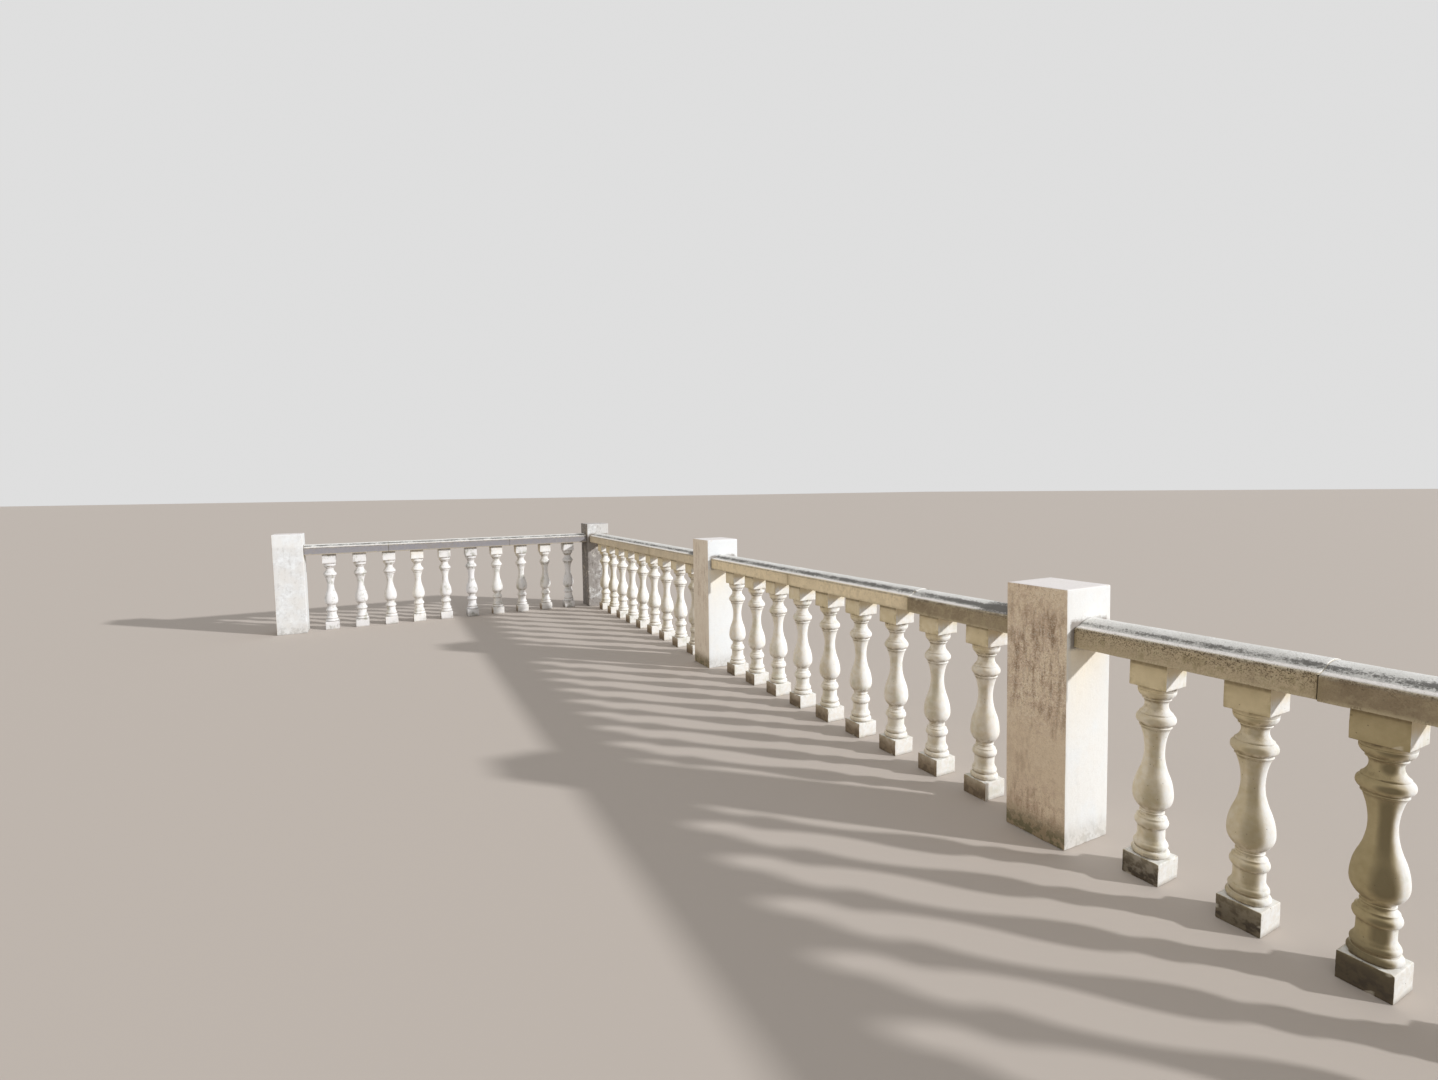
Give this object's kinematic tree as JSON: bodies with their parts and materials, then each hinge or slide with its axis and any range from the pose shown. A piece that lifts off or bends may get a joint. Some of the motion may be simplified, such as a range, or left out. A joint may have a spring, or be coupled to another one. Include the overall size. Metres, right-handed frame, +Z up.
{
  "type": "stone terrace balustrade",
  "caption": "Terrace balustrade on an L-shaped plan: turned stone balusters in bays between plain square piers, under a jointed rail with a rounded crown.",
  "frame": {"origin": "centre of the corner pier's foot, on the ground", "axes": "+X along the straight run away from the corner, -Y along the return bay, +Z up"},
  "size_m": [10.867, 3.876, 1.13],
  "materials": {
    "pier_render": "cement render, brushed flat, stained and weathered",
    "rail_stone": "cast stone, pitted, with lichen along the crown",
    "baluster_stone": "cast stone, smooth, dirty in the hollows",
    "mortar": "dark weathered mortar"
  },
  "bodies": {
    "root": {"corner_pier": "pier_render", "return_end_pier": "pier_render", "first_pier": "pier_render", "second_pier": "pier_render", "run_end_pier": "pier_render", "return_balusters_1": "baluster_stone", "return_balusters_2": "baluster_stone", "return_balusters_3": "baluster_stone", "first_balusters_1": "baluster_stone", "first_balusters_2": "baluster_stone", "second_balusters_1": "baluster_stone", "second_balusters_2": "baluster_stone", "second_balusters_3": "baluster_stone", "third_balusters_1": "baluster_stone", "third_balusters_2": "baluster_stone", "third_balusters_3": "baluster_stone", "return_rail_1": "rail_stone", "return_rail_2": "rail_stone", "return_rail_3": "rail_stone", "first_rail_1": "rail_stone", "first_rail_2": "rail_stone", "second_rail_1": "rail_stone", "second_rail_2": "rail_stone", "second_rail_3": "rail_stone", "third_rail_1": "rail_stone", "third_rail_2": "rail_stone", "third_rail_3": "rail_stone", "return_mortar": "mortar", "first_mortar": "mortar", "second_mortar": "mortar", "third_mortar": "mortar"}
  },
  "joints": []
}
